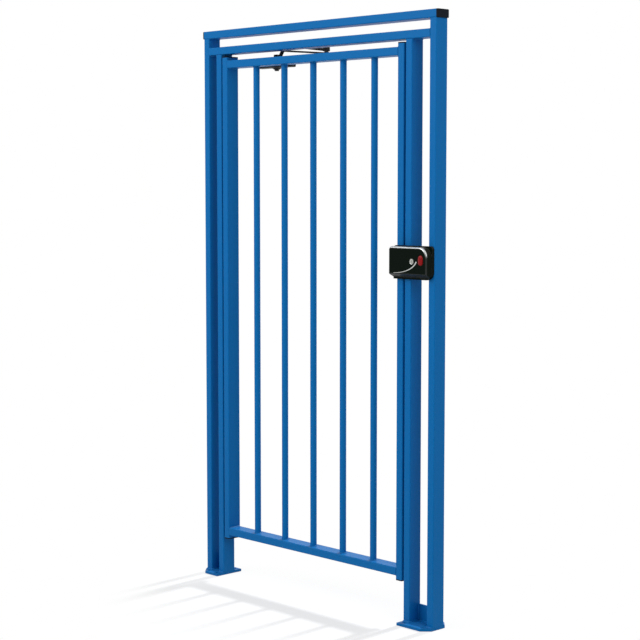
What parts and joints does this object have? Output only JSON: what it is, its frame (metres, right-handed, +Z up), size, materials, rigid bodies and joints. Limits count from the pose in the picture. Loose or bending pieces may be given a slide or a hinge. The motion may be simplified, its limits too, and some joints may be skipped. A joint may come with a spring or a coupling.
{
  "type": "full-height security gate",
  "caption": "Full-height pedestrian gate: tube frame with paired posts and double header, hinged bar leaf, rear arm closer and front box lock with release button.",
  "frame": {"origin": "centre of the underside of the hinge-side base plate, on the floor", "axes": "+X along the gate from the hinge side to the latch side, +Y the side the leaf opens to (the back), +Z up"},
  "size_m": [1.27, 0.313, 2.2],
  "materials": {
    "blue_powder_coat": "semi-gloss powder coat",
    "black_plug_plastic": "moulded, matt",
    "black_closer_paint": "fine textured black paint",
    "black_lock_housing": "gloss black",
    "bright_cylinder": "satin nickel",
    "bright_trim": "polished",
    "zinc_plate": "zinc plated",
    "red_button": "gloss red"
  },
  "bodies": {
    "frame": {"top_rail": "blue_powder_coat", "top_rail_plug_hinge_side": "black_plug_plastic", "top_rail_plug_latch_side": "black_plug_plastic", "header_rail": "blue_powder_coat", "outer_post_hinge_side": "blue_powder_coat", "inner_post_hinge_side": "blue_powder_coat", "inner_post_latch_side": "blue_powder_coat", "outer_post_latch_side": "blue_powder_coat", "base_plate_hinge_side": "blue_powder_coat", "base_plate_latch_side": "blue_powder_coat", "foot_web_hinge_side": "blue_powder_coat", "foot_web_latch_side": "blue_powder_coat", "hinge_pin_half_1": "blue_powder_coat", "hinge_pin_half_2": "blue_powder_coat", "hinge_pin_half_3": "blue_powder_coat", "closer_shoe": "black_closer_paint", "lock_case": "black_lock_housing", "key_cylinder": "bright_cylinder", "lock_trim": "bright_trim"},
    "leaf": {"hinge_stile": "blue_powder_coat", "latch_stile": "blue_powder_coat", "leaf_top_rail": "blue_powder_coat", "leaf_bottom_rail": "blue_powder_coat", "bar_1": "blue_powder_coat", "bar_2": "blue_powder_coat", "bar_3": "blue_powder_coat", "bar_4": "blue_powder_coat", "bar_5": "blue_powder_coat", "stile_plug_hinge_top": "black_plug_plastic", "stile_plug_hinge_bottom": "black_plug_plastic", "stile_plug_latch_top": "black_plug_plastic", "stile_plug_latch_bottom": "black_plug_plastic", "hinge_socket_half_1": "blue_powder_coat", "hinge_socket_half_2": "blue_powder_coat", "hinge_socket_half_3": "blue_powder_coat", "lock_keeper": "zinc_plate", "closer_body": "black_closer_paint"},
    "closer_arm": {"closer_main_arm": "black_closer_paint"},
    "closer_link": {"closer_forearm": "black_closer_paint"},
    "lock_button": {"release_button": "red_button"}
  },
  "joints": [
    {"name": "leaf_swing", "type": "hinge", "parent": "frame", "child": "leaf", "pos_m": [0.0555, 0.0395, 1.1], "axis": [0, 0, 1], "range_deg": [0, 90], "stiffness_Nm_per_rad": 8},
    {"name": "closer_arm_turn", "type": "hinge", "parent": "leaf", "child": "closer_arm", "pos_m": [0.2895, 0.055, 2.09], "axis": [0, 0, 1], "range_deg": [-169.5, 0]},
    {"name": "closer_link_turn", "type": "hinge", "parent": "frame", "child": "closer_link", "pos_m": [0.3295, 0.054, 2.1295], "axis": [0, 0, 1], "range_deg": [0, 55]},
    {"name": "lock_button_press", "type": "slide", "parent": "frame", "child": "lock_button", "axis": [0, 1, 0], "range_m": [0, 0.003], "stiffness_N_per_m": 400}
  ],
  "couplings": [
    {"joint": "closer_arm_turn", "follows": "leaf_swing", "ratio": -1.8799},
    {"joint": "closer_link_turn", "follows": "leaf_swing", "ratio": 0.608}
  ]
}
